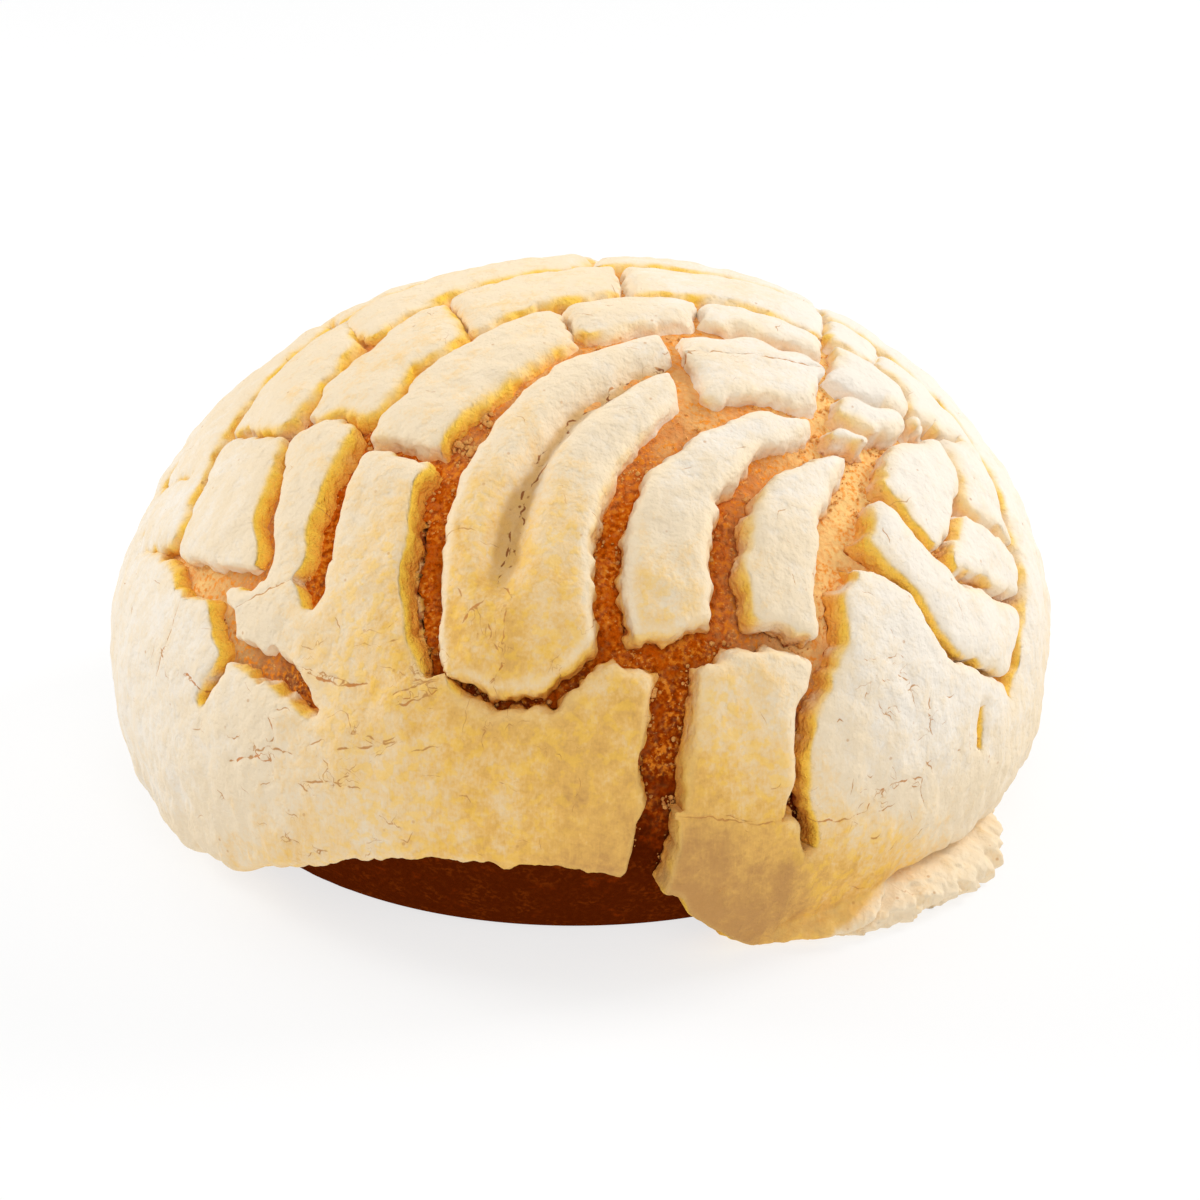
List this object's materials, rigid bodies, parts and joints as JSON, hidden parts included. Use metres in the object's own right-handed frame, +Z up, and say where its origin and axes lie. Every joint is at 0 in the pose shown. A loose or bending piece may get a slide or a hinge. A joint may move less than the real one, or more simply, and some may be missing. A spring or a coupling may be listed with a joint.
{
  "type": "concha sweet bread",
  "caption": "Round domed sweet bun under a thick pale sugar crust that is ribbed in nested arcs and cracked into plates.",
  "frame": {"origin": "middle of the flat base, on the surface the bun stands on", "axes": "+Z up out of the flat base; the shown front faces -Y, and +X is to its right"},
  "size_m": [0.1193, 0.12, 0.0665],
  "materials": {
    "bread_crust": "baked brown crust, slightly glossy",
    "sugar_paste": "dry crumbly baked sugar paste"
  },
  "bodies": {
    "root": {"bun": "bread_crust", "topping_plate_01": "sugar_paste", "topping_plate_02": "sugar_paste", "topping_plate_03": "sugar_paste", "topping_plate_04": "sugar_paste", "topping_plate_05": "sugar_paste", "topping_plate_06": "sugar_paste", "topping_plate_07": "sugar_paste", "topping_plate_08": "sugar_paste", "topping_plate_09": "sugar_paste", "topping_plate_10": "sugar_paste", "topping_plate_11": "sugar_paste", "topping_plate_12": "sugar_paste", "topping_plate_13": "sugar_paste", "topping_plate_14": "sugar_paste", "topping_plate_15": "sugar_paste", "topping_plate_16": "sugar_paste", "topping_plate_17": "sugar_paste", "topping_plate_18": "sugar_paste", "topping_plate_19": "sugar_paste", "topping_plate_20": "sugar_paste", "topping_plate_21": "sugar_paste", "topping_plate_22": "sugar_paste", "topping_plate_23": "sugar_paste", "topping_plate_24": "sugar_paste", "topping_plate_25": "sugar_paste", "topping_plate_26": "sugar_paste", "topping_plate_27": "sugar_paste", "topping_plate_28": "sugar_paste", "topping_plate_29": "sugar_paste"}
  },
  "joints": []
}
